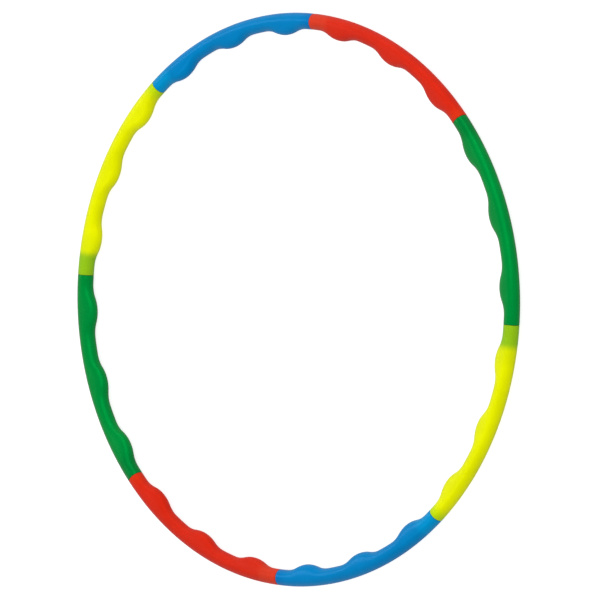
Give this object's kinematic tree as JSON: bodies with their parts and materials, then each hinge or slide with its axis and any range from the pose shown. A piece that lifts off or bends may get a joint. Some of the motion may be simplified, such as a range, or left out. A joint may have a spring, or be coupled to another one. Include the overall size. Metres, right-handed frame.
{
  "type": "sectional gymnastics hoop",
  "caption": "Round hollow-tube gymnastics hoop with rounded inner bumps, in curved sections that plug together and lock with sprung buttons.",
  "frame": {"origin": "centre of the hoop, on the surface that it lies on", "axes": "+Z is the hoop's axis, towards its front face; +Y points at the joint between the last section and the first; the buttons face -Z"},
  "size_m": [0.8, 0.8, 0.0224],
  "materials": {
    "red_plastic": "satin-gloss moulded polyethylene",
    "green_plastic": "satin-gloss moulded polyethylene",
    "yellow_plastic": "satin-gloss moulded polyethylene, slightly see-through",
    "blue_plastic": "satin-gloss moulded polyethylene",
    "spring_steel": "plated spring strip"
  },
  "bodies": {
    "red_section_1": {"red_section_1": "red_plastic"},
    "green_section_1": {"green_section_1": "green_plastic"},
    "yellow_section_1": {"yellow_section_1": "yellow_plastic"},
    "blue_section_1": {"blue_section_1": "blue_plastic"},
    "red_section_2": {"red_section_2": "red_plastic"},
    "green_section_2": {"green_section_2": "green_plastic"},
    "yellow_section_2": {"yellow_section_2": "yellow_plastic"},
    "blue_section_2": {"blue_section_2": "blue_plastic"},
    "snap_clip_1": {"snap_clip_1": "spring_steel"},
    "snap_clip_2": {"snap_clip_2": "spring_steel"},
    "snap_clip_3": {"snap_clip_3": "spring_steel"},
    "snap_clip_4": {"snap_clip_4": "spring_steel"},
    "snap_clip_5": {"snap_clip_5": "spring_steel"},
    "snap_clip_6": {"snap_clip_6": "spring_steel"},
    "snap_clip_7": {"snap_clip_7": "spring_steel"},
    "snap_clip_8": {"snap_clip_8": "spring_steel"}
  },
  "joints": [
    {"name": "pull_1", "type": "slide", "parent": "red_section_1", "child": "green_section_1", "axis": [0.7071, -0.7071, 0], "range_m": [0, 0.04], "deforming": ["snap_clip_1"]},
    {"name": "pull_2", "type": "slide", "parent": "green_section_1", "child": "yellow_section_1", "axis": [0, -1, 0], "range_m": [0, 0.04], "deforming": ["snap_clip_2"]},
    {"name": "pull_3", "type": "slide", "parent": "yellow_section_1", "child": "blue_section_1", "axis": [-0.7071, -0.7071, 0], "range_m": [0, 0.04], "deforming": ["snap_clip_3"]},
    {"name": "pull_4", "type": "slide", "parent": "blue_section_1", "child": "red_section_2", "axis": [-1, 0, 0], "range_m": [0, 0.04], "deforming": ["snap_clip_4"]},
    {"name": "pull_5", "type": "slide", "parent": "red_section_2", "child": "green_section_2", "axis": [-0.7071, 0.7071, 0], "range_m": [0, 0.04], "deforming": ["snap_clip_5"]},
    {"name": "pull_6", "type": "slide", "parent": "green_section_2", "child": "yellow_section_2", "axis": [0, 1, 0], "range_m": [0, 0.04], "deforming": ["snap_clip_6"]},
    {"name": "pull_7", "type": "slide", "parent": "yellow_section_2", "child": "blue_section_2", "axis": [0.7071, 0.7071, 0], "range_m": [0, 0.04], "deforming": ["snap_clip_7", "snap_clip_8"]},
    {"name": "press_1", "type": "slide", "parent": "red_section_1", "child": "snap_clip_1", "axis": [0, 0, 1], "range_m": [0, 0.0024], "stiffness_N_per_m": 800, "springref_m": -0.002, "deforming": ["snap_clip_1"]},
    {"name": "press_2", "type": "slide", "parent": "green_section_1", "child": "snap_clip_2", "axis": [0, 0, 1], "range_m": [0, 0.0024], "stiffness_N_per_m": 800, "springref_m": -0.002, "deforming": ["snap_clip_2"]},
    {"name": "press_3", "type": "slide", "parent": "yellow_section_1", "child": "snap_clip_3", "axis": [0, 0, 1], "range_m": [0, 0.0024], "stiffness_N_per_m": 800, "springref_m": -0.002, "deforming": ["snap_clip_3"]},
    {"name": "press_4", "type": "slide", "parent": "blue_section_1", "child": "snap_clip_4", "axis": [0, 0, 1], "range_m": [0, 0.0024], "stiffness_N_per_m": 800, "springref_m": -0.002, "deforming": ["snap_clip_4"]},
    {"name": "press_5", "type": "slide", "parent": "red_section_2", "child": "snap_clip_5", "axis": [0, 0, 1], "range_m": [0, 0.0024], "stiffness_N_per_m": 800, "springref_m": -0.002, "deforming": ["snap_clip_5"]},
    {"name": "press_6", "type": "slide", "parent": "green_section_2", "child": "snap_clip_6", "axis": [0, 0, 1], "range_m": [0, 0.0024], "stiffness_N_per_m": 800, "springref_m": -0.002, "deforming": ["snap_clip_6"]},
    {"name": "press_7", "type": "slide", "parent": "yellow_section_2", "child": "snap_clip_7", "axis": [0, 0, 1], "range_m": [0, 0.0024], "stiffness_N_per_m": 800, "springref_m": -0.002, "deforming": ["snap_clip_7"]},
    {"name": "press_8", "type": "slide", "parent": "blue_section_2", "child": "snap_clip_8", "axis": [0, 0, 1], "range_m": [0, 0.0024], "stiffness_N_per_m": 800, "springref_m": -0.002, "deforming": ["snap_clip_8"]}
  ],
  "couplings": [
    {"joint": "pull_2", "follows": "pull_1", "ratio": 1},
    {"joint": "pull_3", "follows": "pull_1", "ratio": 1},
    {"joint": "pull_4", "follows": "pull_1", "ratio": 1},
    {"joint": "pull_5", "follows": "pull_1", "ratio": 1},
    {"joint": "pull_6", "follows": "pull_1", "ratio": 1},
    {"joint": "pull_7", "follows": "pull_1", "ratio": 1}
  ]
}
